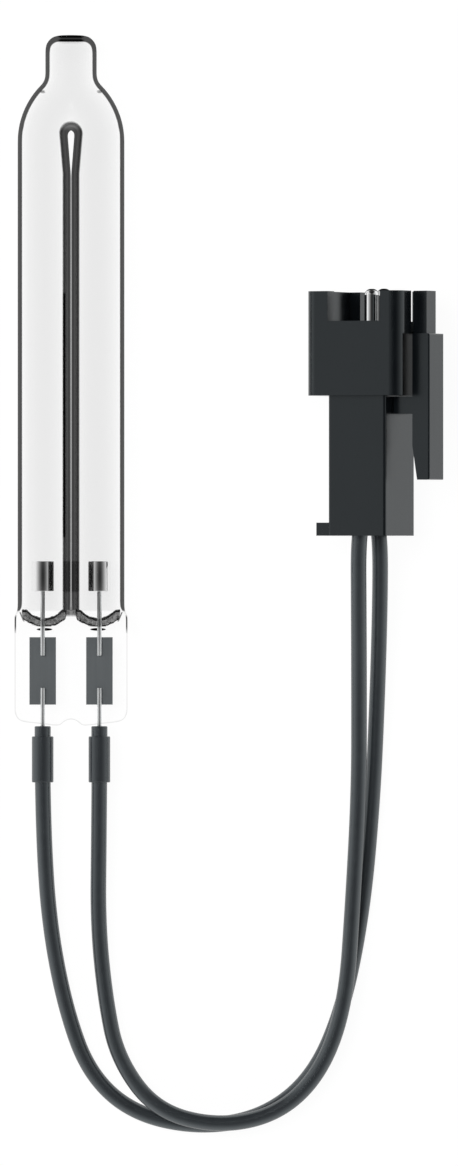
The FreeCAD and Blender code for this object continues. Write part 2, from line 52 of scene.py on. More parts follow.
# Light tent: the world is white near the horizon and dark overhead, where the camera looks in, so
# that metal and black plastic get bright sides and a dark middle. A black flag beyond the lamp's
# tip draws a dark rim on rounded ends, and one soft lamp fills from above.


def add(tree, kind, inputs=None, **settings):
    # A node with its settings; an input given as another node's socket is linked to it.
    made = tree.nodes.new(kind)
    for name, value in settings.items():
        setattr(made, name, value)
    for name, value in (inputs or {}).items():
        if isinstance(value, bpy.types.NodeSocket):
            tree.links.new(value, made.inputs[name])
        else:
            made.inputs[name].default_value = value
    return made


def set_stops(ramp, stops):
    # Greys on a colour ramp, each a place and a value. The two ends of the ramp are there already.
    for end, (at, value) in enumerate((stops[0], stops[-1])):
        ramp.elements[end].position = at
        ramp.elements[end].color = (value, value, value, 1.0)
    for at, value in stops[1:-1]:
        ramp.elements.new(at).color = (value, value, value, 1.0)


world = bpy.data.worlds.new("light_tent")
bpy.context.scene.world = world
world.use_nodes = True
tent = world.node_tree
tent.nodes.clear()
way = add(tent, "ShaderNodeTexCoord")
height = add(tent, "ShaderNodeVectorMath", {0: way.outputs["Generated"], 1: (0.07, 0.0, 0.998)},
             operation="DOT_PRODUCT")
wall = add(tent, "ShaderNodeValToRGB", {"Fac": height.outputs["Value"]})
set_stops(wall.color_ramp, ((0.1, 1.0), (0.3, 0.88), (0.45, 0.7), (0.62, 0.5), (0.77, 0.31), (0.87, 0.17),
                            (0.94, 0.08), (1.0, 0.015)))
sides = add(tent, "ShaderNodeSeparateXYZ", {"Vector": way.outputs["Generated"]})
flag = add(tent, "ShaderNodeMath", {0: sides.outputs["X"]}, operation="ABSOLUTE")
flag = add(tent, "ShaderNodeMath", {0: flag.outputs[0], 1: -0.6, 2: sides.outputs["Y"]},
           operation="MULTIPLY_ADD")
flag = add(tent, "ShaderNodeMapRange", {0: flag.outputs[0], 1: 0.25, 2: 0.45, 3: 1.0, 4: 0.03})
seen = add(tent, "ShaderNodeLightPath")
lit = add(tent, "ShaderNodeBackground", {"Color": wall.outputs["Color"], "Strength": flag.outputs[0]})
backdrop = add(tent, "ShaderNodeBackground", {"Color": (1.0, 1.0, 1.0, 1.0)})
choice = add(tent, "ShaderNodeMixShader", {
    0: seen.outputs["Is Camera Ray"], 1: lit.outputs[0], 2: backdrop.outputs[0],
})
add(tent, "ShaderNodeOutputWorld", {"Surface": choice.outputs[0]})

FILL_PLACE = (-0.25, 0.15, 0.95)
bpy.ops.object.light_add(type="AREA", location=FILL_PLACE)
fill_lamp = bpy.context.object
fill_lamp.data.shape = "DISK"
fill_lamp.data.size = 0.6
fill_lamp.data.energy = 6.5
fill_lamp.rotation_euler = Vector(FILL_PLACE).to_track_quat("Z", "Y").to_euler()
fill_lamp.visible_camera = False
fill_lamp.visible_glossy = False

# Table: a matt white sheet. The camera and mirrors see it almost as pure white, and the rest of it
# is plain paint that keeps a faint shadow under the lamp.


def colour(code):
    # An sRGB hex colour as the linear one that a shader takes.
    channels = [int(code[at:at + 2], 16) / 255 for at in (1, 3, 5)]
    return (*(c / 12.92 if c <= 0.04045 else ((c + 0.055) / 1.055) ** 2.4 for c in channels), 1.0)


bpy.ops.mesh.primitive_grid_add(x_subdivisions=8, y_subdivisions=8, size=8)
table_top = bpy.context.object
table_top.name = "table_top"
white_sheet = bpy.data.materials.new("matt_white_sheet")
white_sheet.use_nodes = True
tree = white_sheet.node_tree
tree.nodes.clear()
rays = add(tree, "ShaderNodeLightPath")
direct = add(tree, "ShaderNodeMath", {0: rays.outputs["Is Camera Ray"], 1: rays.outputs["Is Glossy Ray"]},
             operation="MAXIMUM")
direct = add(tree, "ShaderNodeMath", {0: direct.outputs[0], 1: rays.outputs["Is Transmission Ray"]},
             operation="MAXIMUM")
share = add(tree, "ShaderNodeMath", {0: direct.outputs[0], 1: 0.92}, operation="MULTIPLY")
paint = add(tree, "ShaderNodeBsdfDiffuse", {"Color": colour("#F4F4F4")})
glow = add(tree, "ShaderNodeEmission", {"Color": (1.0, 1.0, 1.0, 1.0), "Strength": 1.03})
sheet = add(tree, "ShaderNodeMixShader", {0: share.outputs[0], 1: paint.outputs[0], 2: glow.outputs[0]})
add(tree, "ShaderNodeOutputMaterial", {"Surface": sheet.outputs[0]})
table_top.data.materials.append(white_sheet)

# Lead wires: stranded copper in black PVC, 1.5 mm thick. They leave the sleeves side by side,
# swing round in one loop on the table and rise into the plug; the right one lies on top.
WIRE_DIAMETER = 0.0015
routes = {
    "lead_wire_right": [
        (0.0027, -0.03435, 0.00254), (0.00265, -0.0409, 0.00245), (0.00255, -0.04905, 0.0015),
        (0.00325, -0.0562, 0.00115), (0.0044, -0.06185, 0.0017), (0.008, -0.06675, 0.00245),
        (0.0139, -0.06833, 0.00247), (0.0197, -0.06715, 0.00245), (0.0238, -0.0632, 0.00245),
        (0.02615, -0.05665, 0.00245), (0.02685, -0.0467, 0.0025), (0.0274, -0.03625, 0.0028),
        (0.0274, -0.02675, 0.0039), (0.02735, -0.0183, 0.0056), (0.027313, -0.01279, 0.006335),
        (0.027771, -0.00959, 0.006582), (0.027771, -0.00789, 0.006582),
    ],
    "lead_wire_left": [
        (-0.0027, -0.03435, 0.00254), (-0.00265, -0.04005, 0.0024), (-0.0021, -0.04905, 0.0013),
        (-0.00055, -0.05715, 0.0008), (0.0017, -0.06335, 0.00077), (0.0059, -0.06715, 0.00077),
        (0.01225, -0.0685, 0.00077), (0.01825, -0.0675, 0.00077), (0.02295, -0.06385, 0.00077),
        (0.02585, -0.05745, 0.00077), (0.02775, -0.0481, 0.00077), (0.02875, -0.0372, 0.0009),
        (0.0292, -0.0265, 0.0019), (0.0294, -0.0183, 0.0038), (0.029417, -0.01279, 0.00463),
        (0.02896, -0.00959, 0.004383), (0.02896, -0.00789, 0.004383),
    ],
}


def dull_edge(tree, skin):
    # Satin black plastic mirrors less of the room where it is seen edge on.
    slant = add(tree, "ShaderNodeLayerWeight", {"Blend": 0.5})
    sheen = add(tree, "ShaderNodeMapRange", {0: slant.outputs["Facing"], 1: 0.5, 2: 0.85, 3: 0.95, 4: 0.2})
    tree.links.new(sheen.outputs[0], skin.inputs["Specular IOR Level"])


# Extruded PVC has a satin skin: the die leaves grain about 0.3 mm long and slightly uneven gloss.
pvc = bpy.data.materials.new("extruded_black_pvc")
pvc.use_nodes = True
tree = pvc.node_tree
skin = tree.nodes["Principled BSDF"]
skin.inputs["Specular Tint"].default_value = colour("#F0FBFF")
place = add(tree, "ShaderNodeTexCoord")
cloud = add(tree, "ShaderNodeTexNoise", {"Vector": place.outputs["Object"], "Scale": 900.0, "Detail": 3.0})
tint = add(tree, "ShaderNodeMix", {0: cloud.outputs["Fac"], 6: colour("#2E3134"), 7: colour("#363A3D")},
           data_type="RGBA")
gloss = add(tree, "ShaderNodeMapRange", {0: cloud.outputs["Fac"], 3: 0.2, 4: 0.28})
grain = add(tree, "ShaderNodeTexNoise", {"Vector": place.outputs["Object"], "Scale": 3500.0, "Detail": 2.0})
relief = add(tree, "ShaderNodeBump", {"Strength": 0.04, "Distance": 0.00003, "Height": grain.outputs["Fac"]})
dull_edge(tree, skin)
tree.links.new(tint.outputs[2], skin.inputs["Base Color"])
tree.links.new(gloss.outputs[0], skin.inputs["Roughness"])
tree.links.new(relief.outputs[0], skin.inputs["Normal"])

for name, route in routes.items():
    curve = bpy.data.curves.new(name, "CURVE")
    curve.dimensions = "3D"
    spline = curve.splines.new("NURBS")
    spline.points.add(len(route) - 1)
    for point, spot in zip(spline.points, route):
        point.co = (*spot, 1.0)
    spline.order_u = 3
    spline.use_endpoint_u = True
    curve.resolution_u = 16
    curve.bevel_depth = WIRE_DIAMETER / 2
    curve.bevel_resolution = 10
    curve.use_fill_caps = True
    wire = bpy.data.objects.new(name + "_pvc", curve)
    bpy.context.scene.collection.objects.link(wire)
    curve.materials.append(pvc)
    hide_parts(name)
    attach(wire, "lamp")

# Quartz envelope: two drawn legs bent together into a crown, with a blown neck, the sealed-off
# exhaust tip, and a pinch seal pressed flat at the foot. One half is joined from rounds, melted
# into one skin and mirrored; the bores are made the same way and turned inside out.
# Sizes are in millimetres; each piece is brought to metres when it is finished.
AXIS_Z = 2.54
LEG_X = 2.548
LEG_RADIUS = 2.54
WALL = 0.4
SEAL_END = -30.15
SEAL_LENGTH = 10.8
SEAL_WIDTH = 10.73
SEAL_THICKNESS = 2.6
SEAL_CORNER = 0.9
SEAL_DRAW = 0.45
SEAL_FLAT_END = 1.4
NOTCH_RADIUS = 1.116
NOTCH_BELOW = 0.496
PINCH_TOP = -18.65
PINCH_LENGTH = 3.3
PINCH_HALF_WIDTH = 2.71
BEND_START = 25.473
BEND_RADIUS = 5.0
NECK_TOP = 31.58
TIP_RADIUS = 2.45
TIP_END = 35.55
TIP_CORNER = 1.35
EYE_Y = 26.223
EYE_RADIUS = 0.34
EYE_FOOT = 0.025
EYE_LENGTH = 3.8
SKIN_GRAIN = 0.213
SHARP = math.radians(40)


def alone(*pieces):
    # Only these pieces are selected, and the first of them is the active one.
    if bpy.context.object and bpy.context.object.mode != "OBJECT":
        bpy.ops.object.mode_set(mode="OBJECT")
    bpy.ops.object.select_all(action="DESELECT")
    for piece in pieces:
        piece.select_set(True)
    bpy.context.view_layer.objects.active = pieces[0]


def settle(piece):
    # Its place, turn and size go into its mesh.
    alone(piece)
    bpy.ops.object.transform_apply(location=True, rotation=True, scale=True)


def rod(radius, low, high, x=0.0, z=AXIS_Z, sides=96):
    # A closed cylinder along Y.
    bpy.ops.object.select_all(action="DESELECT")
    bpy.ops.mesh.primitive_cylinder_add(vertices=sides, radius=radius, depth=high - low,
                                        location=(x, (low + high) / 2, z), rotation=(math.pi / 2, 0, 0))
    piece = bpy.context.object
    settle(piece)
    return piece


def pick(piece, kind, test):
    # In edit mode, selects the vertices or faces whose middle passes the test.
    alone(piece)
    bpy.ops.object.mode_set(mode="EDIT")
    bpy.ops.mesh.select_mode(type=kind)
    bpy.ops.mesh.select_all(action="DESELECT")
    bpy.ops.object.mode_set(mode="OBJECT")
    if kind == "VERT":
        for vertex in piece.data.vertices:
            vertex.select = test(vertex.co)
    else:
        for face in piece.data.polygons:
            face.select = test(face.center)
    bpy.ops.object.mode_set(mode="EDIT")


def modify(piece, kind, **settings):
    # Adds a modifier with its settings and applies it.
    alone(piece)
    modifier = piece.modifiers.new(kind.lower(), kind)
    for name, value in settings.items():
        setattr(modifier, name, value)
    bpy.ops.object.modifier_apply(modifier=modifier.name)


def elbow(radius):
    # The first 55 degrees of a torus, closed at both ends.
    bpy.ops.object.select_all(action="DESELECT")
    bpy.ops.mesh.primitive_torus_add(location=(LEG_X - BEND_RADIUS, BEND_START, AXIS_Z),
                                     major_radius=BEND_RADIUS, minor_radius=radius,
                                     major_segments=180, minor_segments=96)
    piece = bpy.context.object
    settle(piece)
    turn = math.radians(55)
    for normal in ((0, -1, 0), (-math.sin(turn), math.cos(turn), 0)):
        alone(piece)
        bpy.ops.object.mode_set(mode="EDIT")
        bpy.ops.mesh.select_all(action="SELECT")
        bpy.ops.mesh.bisect(plane_co=(LEG_X - BEND_RADIUS, BEND_START - 0.001, AXIS_Z), plane_no=normal,
                            use_fill=True, clear_outer=True, threshold=0.0001)
        bpy.ops.object.mode_set(mode="OBJECT")
    return piece


def neck(inset):
    # Rings from the round tip down to the wider crown, each a half width, a half depth and a height.
    rings = [(TIP_RADIUS, TIP_RADIUS, 31.7), (TIP_RADIUS, TIP_RADIUS, NECK_TOP), (2.7, 2.482, 30.88),
             (3.25, 2.513, 30.28), (3.87, LEG_RADIUS, 29.58), (3.97, 2.35, 29.3)]
    bpy.ops.object.select_all(action="DESELECT")
    bpy.ops.mesh.primitive_circle_add(vertices=96, radius=1, fill_type="NGON",
                                      location=(0, rings[0][2], AXIS_Z), rotation=(math.pi / 2, 0, 0))
    piece = bpy.context.object
    settle(piece)
    alone(piece)
    bpy.ops.object.mode_set(mode="EDIT")
    bpy.ops.mesh.select_all(action="SELECT")
    wide, deep, level = 1.0, 1.0, rings[0][2]
    for count, (half_width, half_depth, height) in enumerate(rings):
        if count:
            bpy.ops.mesh.extrude_region_move(TRANSFORM_OT_translate={"value": (0, height - level, 0)})
        bpy.ops.transform.resize(value=((half_width - inset) / wide, 1, (half_depth - inset) / deep),
                                 center_override=(0, height, AXIS_Z))
        wide, deep, level = half_width - inset, half_depth - inset, height
    bpy.ops.mesh.select_all(action="SELECT")
    bpy.ops.mesh.normals_make_consistent(inside=False)
    bpy.ops.object.mode_set(mode="OBJECT")
    return piece


def upright_rod(radius, y, sides):
    # A cylinder through the glass from front to back.
    bpy.ops.object.select_all(action="DESELECT")
    bpy.ops.mesh.primitive_cylinder_add(vertices=sides, radius=radius, depth=12, location=(0, y, AXIS_Z))
    piece = bpy.context.object
    settle(piece)
    return piece


def eye_cutter(eye, foot):
    # A slit that widens into a round eye.
    cutter = upright_rod(eye, EYE_Y, 48)
    pick(cutter, "VERT", lambda at: at.y < EYE_Y - 0.001)
    bpy.ops.transform.translate(value=(0, -EYE_LENGTH, 0))
    bpy.ops.transform.resize(value=(foot / eye, 1, 1), center_override=(0, EYE_Y, AXIS_Z))
    bpy.ops.object.mode_set(mode="OBJECT")
    return cutter


def carve(piece, cutter):
    # The cutter is taken out of the piece, and goes.
    modify(piece, "BOOLEAN", object=cutter, operation="DIFFERENCE", solver="EXACT")
    bpy.data.objects.remove(cutter)


def melt(rounds, cutter):
    # Rounds that overlap become one skin, the eye is cut, and its edges melt back.
    alone(*rounds)
    bpy.ops.object.join()
    piece = bpy.context.object
    modify(piece, "REMESH", mode="VOXEL", voxel_size=SKIN_GRAIN)
    carve(piece, cutter)
    modify(piece, "REMESH", mode="VOXEL", voxel_size=SKIN_GRAIN)
    modify(piece, "SMOOTH", factor=0.5, iterations=4)
    alone(piece)
    bpy.ops.object.mode_set(mode="EDIT")
    bpy.ops.mesh.select_all(action="SELECT")
    bpy.ops.mesh.bisect(plane_co=(0, 0, 0), plane_no=(1, 0, 0), clear_inner=True, threshold=0.0001)
    bpy.ops.object.mode_set(mode="OBJECT")
    modify(piece, "MIRROR", merge_threshold=0.01)
    bpy.ops.object.shade_smooth()
    return piece


leg = rod(LEG_RADIUS, PINCH_TOP, BEND_START, LEG_X)
pinch = rod(LEG_RADIUS, PINCH_TOP - PINCH_LENGTH, PINCH_TOP, LEG_X)
pick(pinch, "VERT", lambda at: at.y < PINCH_TOP - 1)
bpy.ops.transform.resize(value=(PINCH_HALF_WIDTH / LEG_RADIUS, 1, SEAL_THICKNESS / 2 / LEG_RADIUS),
                         center_override=(LEG_X, 0, AXIS_Z))
bpy.ops.object.mode_set(mode="OBJECT")

# The seal is a flat block whose end draws back towards its corners and has a shallow notch.
bpy.ops.object.select_all(action="DESELECT")
bpy.ops.mesh.primitive_cube_add(size=1, location=(0, SEAL_END + SEAL_LENGTH / 2, AXIS_Z),
                                scale=(SEAL_WIDTH, SEAL_LENGTH, SEAL_THICKNESS))
seal = bpy.context.object
settle(seal)
alone(seal)
bpy.ops.object.mode_set(mode="EDIT")
bpy.ops.mesh.select_all(action="SELECT")
bpy.ops.mesh.bisect(plane_co=(SEAL_FLAT_END, 0, 0), plane_no=(1, 0, 0), threshold=0.0001)
pick(seal, "VERT", lambda at: at.x > 5 and at.y < SEAL_END + 1)
bpy.ops.transform.translate(value=(0, SEAL_DRAW, 0))
bpy.ops.mesh.bevel(offset=SEAL_CORNER, segments=6, affect="EDGES")
bpy.ops.object.mode_set(mode="OBJECT")
modify(seal, "BEVEL", width=0.4, segments=4, limit_method="ANGLE", angle_limit=SHARP)
carve(seal, upright_rod(NOTCH_RADIUS, SEAL_END - NOTCH_BELOW, 96))

tip = rod(TIP_RADIUS, NECK_TOP, TIP_END)
pick(tip, "FACE", lambda at: at.y > TIP_END - 0.001)
bpy.ops.mesh.bevel(offset=TIP_CORNER, segments=10, profile=0.5)
bpy.ops.object.mode_set(mode="OBJECT")
glass = melt([leg, elbow(LEG_RADIUS), pinch, seal, neck(0.0), tip], eye_cutter(EYE_RADIUS, EYE_FOOT))

# A bore ends in a round-cornered floor, flattened by the jaws that pinched the glass shut below it.
# The wall is thicker at the end of the tip and round the eye than along the legs.
FLOOR_Y = -20.72
FLOOR_CORNER = 1.1
FLOOR_FLATTENING = 0.6
TIP_WALL = 0.63
HOLLOW_TIP_CORNER = 0.9
EYE_WALL = 0.63
SLIT_WALL = 0.42
bore = rod(LEG_RADIUS - WALL, PINCH_TOP - 0.45, BEND_START, LEG_X)
bore_floor = rod(LEG_RADIUS - WALL, FLOOR_Y, PINCH_TOP - 0.4, LEG_X)
pick(bore_floor, "FACE", lambda at: at.y < FLOOR_Y + 0.001)
bpy.ops.mesh.bevel(offset=FLOOR_CORNER, segments=10, profile=0.5)
pick(bore_floor, "VERT", lambda at: at.y < PINCH_TOP - 0.9)
bpy.ops.transform.resize(value=(1, 1, FLOOR_FLATTENING), center_override=(LEG_X, 0, AXIS_Z))
bpy.ops.object.mode_set(mode="OBJECT")
hollow_tip = rod(TIP_RADIUS - WALL, NECK_TOP, TIP_END - TIP_WALL)
pick(hollow_tip, "FACE", lambda at: at.y > TIP_END - TIP_WALL - 0.001)
bpy.ops.mesh.bevel(offset=HOLLOW_TIP_CORNER, segments=8, profile=0.5)
bpy.ops.object.mode_set(mode="OBJECT")
inside = melt([bore, elbow(LEG_RADIUS - WALL), bore_floor, neck(WALL), hollow_tip],
              eye_cutter(EYE_RADIUS + EYE_WALL, EYE_FOOT + SLIT_WALL))
alone(inside)
bpy.ops.object.mode_set(mode="EDIT")
bpy.ops.mesh.select_all(action="SELECT")
bpy.ops.mesh.flip_normals()
bpy.ops.object.mode_set(mode="OBJECT")


def to_metres(piece, name, cad_nodes):
    # A finished piece takes its real size and name, and the place of the CAD nodes that it remakes.
    piece.scale = (0.001, 0.001, 0.001)
    settle(piece)
    piece.name = name
    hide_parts(*cad_nodes)
    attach(piece, "lamp")


def quartz_skin(name):
    # A skin of fused quartz with its faint mirror, where each spot of it lies, how far that is from
    # the lamp's middle, and whether it is on the wall behind the lead.
    made = bpy.data.materials.new(name)
    made.use_nodes = True
    tree = made.node_tree
    mirror = tree.nodes["Principled BSDF"]
    mirror.inputs["Base Color"].default_value = colour("#3A3E40")
    mirror.inputs["Roughness"].default_value = 0.04
    mirror.inputs["IOR"].default_value = 1.458
    place = add(tree, "ShaderNodeTexCoord")
    spot = add(tree, "ShaderNodeSeparateXYZ", {"Vector": place.outputs["Object"]})
    aside = add(tree, "ShaderNodeMath", {0: spot.outputs["X"]}, operation="ABSOLUTE")
    axis = AXIS_Z / 1000
    behind = add(tree, "ShaderNodeMapRange", {0: spot.outputs["Z"], 1: axis, 2: axis - 0.0001})
    return made, tree, place, spot, aside, behind


def show_through(tree, tint):
    # Light comes through the skin by a grey tint, and a little of the room is mirrored.
    clear = add(tree, "ShaderNodeBsdfTransparent", {"Color": tint.outputs[0]})
    mirror = tree.nodes["Principled BSDF"]
    skin = add(tree, "ShaderNodeMixShader", {0: 0.0015, 1: clear.outputs[0], 2: mirror.outputs[0]})
    tree.links.new(skin.outputs[0], tree.nodes["Material Output"].inputs["Surface"])


def within(tree, value, start, full, fading, end):
    # 1 from full to fading, and 0 before start and past end, with soft ramps between.
    rise = add(tree, "ShaderNodeMapRange", {0: value, 1: start, 2: full})
    fall = add(tree, "ShaderNodeMapRange", {0: value, 1: end, 2: fading})
    return add(tree, "ShaderNodeMath", {0: rise.outputs[0], 1: fall.outputs[0]}, operation="MULTIPLY")


def past(tree, value, limit):
    # How far the value lies past the limit, or 0 before it.
    more = add(tree, "ShaderNodeMath", {0: value, 1: limit}, operation="SUBTRACT")
    return add(tree, "ShaderNodeMath", {0: more.outputs[0], 1: 0.0}, operation="MAXIMUM")


def apart(tree, value, middle):
    # How far the value lies from the middle, on either side of it.
    gap = add(tree, "ShaderNodeMath", {0: value, 1: middle}, operation="SUBTRACT")
    return add(tree, "ShaderNodeMath", {0: gap.outputs[0]}, operation="ABSOLUTE")


def span(tree, across, along):
    # The length of the line that goes so far across and so far along.
    ends = add(tree, "ShaderNodeCombineXYZ", {"X": across.outputs[0], "Y": along.outputs[0]})
    return add(tree, "ShaderNodeVectorMath", {0: ends.outputs[0]}, operation="LENGTH")


def oval(tree, across, along, middle, half_sizes):
    # How far a spot lies from the middle of an oval: less than 1 inside it and more outside.
    shares = []
    for value, centre, half_size in zip((across, along), middle, half_sizes):
        share = add(tree, "ShaderNodeMath", {0: value, 1: centre}, operation="SUBTRACT")
        shares.append(add(tree, "ShaderNodeMath", {0: share.outputs[0], 1: half_size}, operation="DIVIDE"))
    return span(tree, *shares)


# Fused quartz, fire polished. Where light has to run along the wall the glass turns dark, so every
# outline is a grey band as wide as the wall, and so is the seam where the legs meet round the eye.
# The outline bands follow how steeply the wall is seen; the seam and the other marks below are
# painted shade and painted highlights, laid into the see-through tint at fixed places on the skin.
# Sizes in the two skins are in metres.
outer_skin, tree, place, spot, aside, behind = quartz_skin("fused_quartz_outside")

# Clear in the middle of a tube and dark at its edge, by how steeply the wall is seen.
edge = add(tree, "ShaderNodeLayerWeight", {"Blend": 0.5})
slope = add(tree, "ShaderNodeValToRGB", {"Fac": edge.outputs["Facing"]})
set_stops(slope.color_ramp, ((0.0, 0.915), (0.2, 0.945), (0.43, 0.98), (0.48, 0.285), (0.7, 0.31),
                             (1.0, 0.35)))

# In the flat seal, solid glass with parallel faces, only a faint outline is left. The steep
# shoulders at its top, where the round legs were pressed flat, are dark.
faint = add(tree, "ShaderNodeMapRange", {0: edge.outputs["Facing"], 1: 0.3, 2: 0.7, 3: 0.997, 4: 0.9})
in_seal = add(tree, "ShaderNodeMapRange", {0: spot.outputs["Y"], 1: -0.01915, 2: -0.0193})
steep = add(tree, "ShaderNodeMapRange", {0: edge.outputs["Facing"], 1: 0.25, 2: 0.45})
shoulder = within(tree, spot.outputs["Y"], -0.0214, -0.0207, -0.0199, -0.0196)
shoulder = add(tree, "ShaderNodeMath", {0: shoulder.outputs[0], 1: steep.outputs[0]}, operation="MULTIPLY")
faint = add(tree, "ShaderNodeMix", {0: shoulder.outputs[0], 2: faint.outputs[0], 3: 0.15})
flat_face = add(tree, "ShaderNodeMapRange", {0: edge.outputs["Facing"], 1: 0.4, 2: 0.3})
pressed = add(tree, "ShaderNodeMapRange", {0: spot.outputs["Y"], 1: -0.0196, 2: -0.0203})
pressed = add(tree, "ShaderNodeMath", {0: pressed.outputs[0], 1: flat_face.outputs[0]}, operation="MULTIPLY")
solid = add(tree, "ShaderNodeMath", {0: in_seal.outputs[0], 1: pressed.outputs[0]}, operation="MAXIMUM")
body = add(tree, "ShaderNodeMix", {0: solid.outputs[0], 2: slope.outputs["Color"], 3: faint.outputs[0]})

# The seam: painted shade on all that lies within 0.75 mm of the eye and of the slit below it, with
# faint streaks along the legs and, on the left, one darker streak where the upper wall is thickest.
# It is darker between the cups, a painted reflection of them, and lighter over the eye. A light
# thread runs down its foot, where the slit has closed.
reach = span(tree, aside, past(tree, spot.outputs["Y"], EYE_Y / 1000))
opening = add(tree, "ShaderNodeMapRange", {
    0: spot.outputs["Y"], 1: (EYE_Y - EYE_LENGTH) / 1000, 2: EYE_Y / 1000,
    3: EYE_FOOT / 1000, 4: EYE_RADIUS / 1000,
})
away = add(tree, "ShaderNodeMath", {0: reach.outputs["Value"], 1: opening.outputs[0]}, operation="SUBTRACT")
seam = add(tree, "ShaderNodeMapRange", {0: away.outputs[0], 1: 0.0008, 2: 0.0007})
foot = add(tree, "ShaderNodeMapRange", {0: spot.outputs["Y"], 1: -0.0193, 2: -0.0191})
seam = add(tree, "ShaderNodeMath", {0: seam.outputs[0], 1: foot.outputs[0]}, operation="MULTIPLY")
streaks = add(tree, "ShaderNodeMapRange", {0: away.outputs[0], 1: 0.0, 2: 0.0008})
streaks = add(tree, "ShaderNodeValToRGB", {"Fac": streaks.outputs[0]})
set_stops(streaks.color_ramp, ((0.0, 0.26), (0.2, 0.26), (0.29, 0.2), (0.38, 0.3), (0.5, 0.25), (0.62, 0.25),
                               (0.74, 0.16), (0.86, 0.24), (1.0, 0.3)))
# Painted shade: one darker streak on the left of the seam.
streak_left = add(tree, "ShaderNodeMapRange", {0: spot.outputs["X"], 1: -0.00052, 2: -0.00058})
streak = within(tree, spot.outputs["Y"], -0.0123, -0.0121, 0.0109, 0.0111)
streak = add(tree, "ShaderNodeMath", {0: streak.outputs[0], 1: streak_left.outputs[0]}, operation="MULTIPLY")
left_streak_shade = add(tree, "ShaderNodeMapRange", {0: streak.outputs[0], 3: 1.0, 4: 0.2})
# Painted reflection of the cups: the seam is darker between them.
cup_reflection = within(tree, spot.outputs["Y"], -0.0175, -0.0173, -0.0146, -0.0144)
cup_reflection = add(tree, "ShaderNodeMapRange", {0: cup_reflection.outputs[0], 3: 1.0, 4: 0.66})
lighter = add(tree, "ShaderNodeMapRange", {0: spot.outputs["Y"], 1: 0.0265, 2: 0.0269, 3: 1.0, 4: 1.6})
thread = add(tree, "ShaderNodeMapRange", {0: aside.outputs[0], 1: 0.00012, 2: 0.00008})
closed = add(tree, "ShaderNodeMapRange", {0: spot.outputs["Y"], 1: -0.0184, 2: -0.0188})
closed = add(tree, "ShaderNodeMath", {0: thread.outputs[0], 1: closed.outputs[0]}, operation="MULTIPLY")
closed = add(tree, "ShaderNodeMapRange", {0: closed.outputs[0], 3: 1.0, 4: 1.9})
seam_tint = streaks
for factor in (left_streak_shade, cup_reflection, lighter, closed):
    seam_tint = add(tree, "ShaderNodeMath", {0: seam_tint.outputs[0], 1: factor.outputs[0]},
                    operation="MULTIPLY")
body = add(tree, "ShaderNodeMix", {0: seam.outputs[0], 2: body.outputs[0], 3: seam_tint.outputs[0]})

# The seam runs out in a torn grey crest between the two crescents. Beside each crescent a short fold
# slants inwards, and a spur of the crown stands into each corner of the neck. All three are painted shade.
crest_side = add(tree, "ShaderNodeMapRange", {0: aside.outputs[0], 1: 0.00058, 2: 0.00048})
crest = within(tree, spot.outputs["Y"], -0.0198, -0.01955, -0.0193, -0.0191)
crest = add(tree, "ShaderNodeMath", {0: crest.outputs[0], 1: crest_side.outputs[0]}, operation="MULTIPLY")
torn = add(tree, "ShaderNodeTexNoise", {"Vector": place.outputs["Object"], "Scale": 6000.0, "Detail": 2.0})
torn = add(tree, "ShaderNodeMapRange", {0: torn.outputs["Fac"], 1: 0.35, 2: 0.65, 3: 0.28, 4: 0.52})
torn = add(tree, "ShaderNodeMix", {0: thread.outputs[0], 2: torn.outputs[0], 3: 0.5})
crest = add(tree, "ShaderNodeMix", {0: crest.outputs[0], 2: 1.0, 3: torn.outputs[0]})
fold = add(tree, "ShaderNodeMath", {0: spot.outputs["Y"], 1: -0.419, 2: -0.01296}, operation="MULTIPLY_ADD")
fold = add(tree, "ShaderNodeMath", {0: aside.outputs[0], 1: fold.outputs[0]}, operation="ADD")
fold = add(tree, "ShaderNodeMath", {0: fold.outputs[0]}, operation="ABSOLUTE")
fold = add(tree, "ShaderNodeMapRange", {0: fold.outputs[0], 1: 0.00009, 2: 0.00003})
fold_length = within(tree, spot.outputs["Y"], -0.0203, -0.0201, -0.0194, -0.0193)
fold = add(tree, "ShaderNodeMath", {0: fold.outputs[0], 1: fold_length.outputs[0]}, operation="MULTIPLY")
fold = add(tree, "ShaderNodeMapRange", {0: fold.outputs[0], 3: 1.0, 4: 0.35})
spur = oval(tree, aside.outputs[0], spot.outputs["Y"], (0.00272, 0.0302), (0.00026, 0.0001))
spur = add(tree, "ShaderNodeMapRange", {0: spur.outputs["Value"], 1: 0.7, 2: 1.1, 3: 0.45, 4: 1.0})
for factor in (crest, fold, spur):
    body = add(tree, "ShaderNodeMath", {0: body.outputs[0], 1: factor.outputs[0]}, operation="MULTIPLY")

# The melted end of the tip is thick: all outside its hollow is dark with painted shade, nearly black at the
# top.
# The level leans back by 2.4 degrees, which lays the front and back rims of the dark end over each
# other.
tip_level = add(tree, "ShaderNodeMath", {0: spot.outputs["Z"], 1: 0.0417, 2: -0.000106},
                operation="MULTIPLY_ADD")
tip_level = add(tree, "ShaderNodeMath", {0: tip_level.outputs[0], 1: spot.outputs["Y"]}, operation="ADD")
tip_reach = span(tree, past(tree, aside.outputs[0], 0.00115), past(tree, tip_level.outputs[0], 0.03408))
melted = add(tree, "ShaderNodeMapRange", {0: tip_reach.outputs["Value"], 1: 0.00084, 2: 0.00092})
melted_rise = add(tree, "ShaderNodeMapRange", {0: spot.outputs["Y"], 1: 0.0339, 2: 0.0342})
melted = add(tree, "ShaderNodeMath", {0: melted.outputs[0], 1: melted_rise.outputs[0]}, operation="MULTIPLY")
blackest = add(tree, "ShaderNodeMapRange", {0: aside.outputs[0], 1: 0.0013, 2: 0.001, 3: 0.28, 4: 0.05})
end_line = apart(tree, tip_level.outputs[0], 0.03526)
